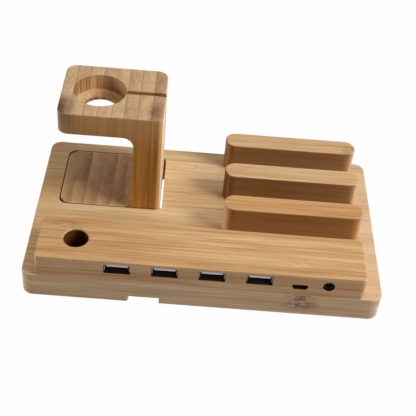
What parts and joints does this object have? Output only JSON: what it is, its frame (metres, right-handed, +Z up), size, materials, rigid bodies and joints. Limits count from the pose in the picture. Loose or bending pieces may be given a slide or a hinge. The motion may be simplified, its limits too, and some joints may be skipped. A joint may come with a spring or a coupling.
{
  "type": "charging station organizer",
  "caption": "Bamboo desk charging station with upright device slots, a watch charger stand, a pen hole and a built-in USB hub in its raised front block.",
  "frame": {"origin": "middle of the footprint, on the surface that the rubber feet stand on", "axes": "+X to the right along the front, +Y to the back, +Z up"},
  "size_m": [0.19, 0.112, 0.0787],
  "materials": {
    "bamboo": "clear satin lacquer",
    "dowel_wood": "plain turned beech",
    "rubber": "matte",
    "cover_plastic": "fine matte grain",
    "screw_steel": "blackened",
    "circuit_board": "solder mask",
    "plated_metal": "bright nickel plating",
    "contact_metal": "thin gold plating",
    "white_plastic": "moulded",
    "black_plastic": "moulded",
    "can_metal": "drawn can",
    "fuse_body": "moulded"
  },
  "bodies": {
    "board": {"base_board": "bamboo", "divider_rear": "bamboo", "divider_rear_dowels": "dowel_wood", "divider_middle": "bamboo", "divider_middle_dowels": "dowel_wood", "divider_front": "bamboo", "divider_front_dowels": "dowel_wood", "foot_front_left": "rubber", "foot_front_right": "rubber", "foot_rear_left": "rubber", "foot_rear_right": "rubber", "hub_cover": "cover_plastic", "cover_screws": "screw_steel", "circuit_board": "circuit_board", "circuit_board_screws": "screw_steel", "usb_port_1_shell": "plated_metal", "usb_port_1_tongue": "white_plastic", "usb_port_1_contacts": "contact_metal", "usb_port_2_shell": "plated_metal", "usb_port_2_tongue": "white_plastic", "usb_port_2_contacts": "contact_metal", "usb_port_3_shell": "plated_metal", "usb_port_3_tongue": "white_plastic", "usb_port_3_contacts": "contact_metal", "usb_port_4_shell": "plated_metal", "usb_port_4_tongue": "white_plastic", "usb_port_4_contacts": "contact_metal", "micro_usb_shell": "plated_metal", "micro_usb_tongue": "black_plastic", "micro_usb_contacts": "contact_metal", "power_inlet_body": "black_plastic", "power_inlet_pin": "plated_metal", "power_inlet_spring": "plated_metal", "hub_chip": "black_plastic", "crystal": "can_metal", "filter_capacitors": "can_metal", "power_inductor": "black_plastic", "power_regulator": "black_plastic", "port_fuses": "fuse_body", "small_board_parts": "fuse_body"},
    "stand": {"watch_stand": "bamboo"}
  },
  "joints": [
    {"name": "stand_lift", "type": "slide", "parent": "board", "child": "stand", "axis": [0, 0, 1], "range_m": [0, 0.02]}
  ]
}
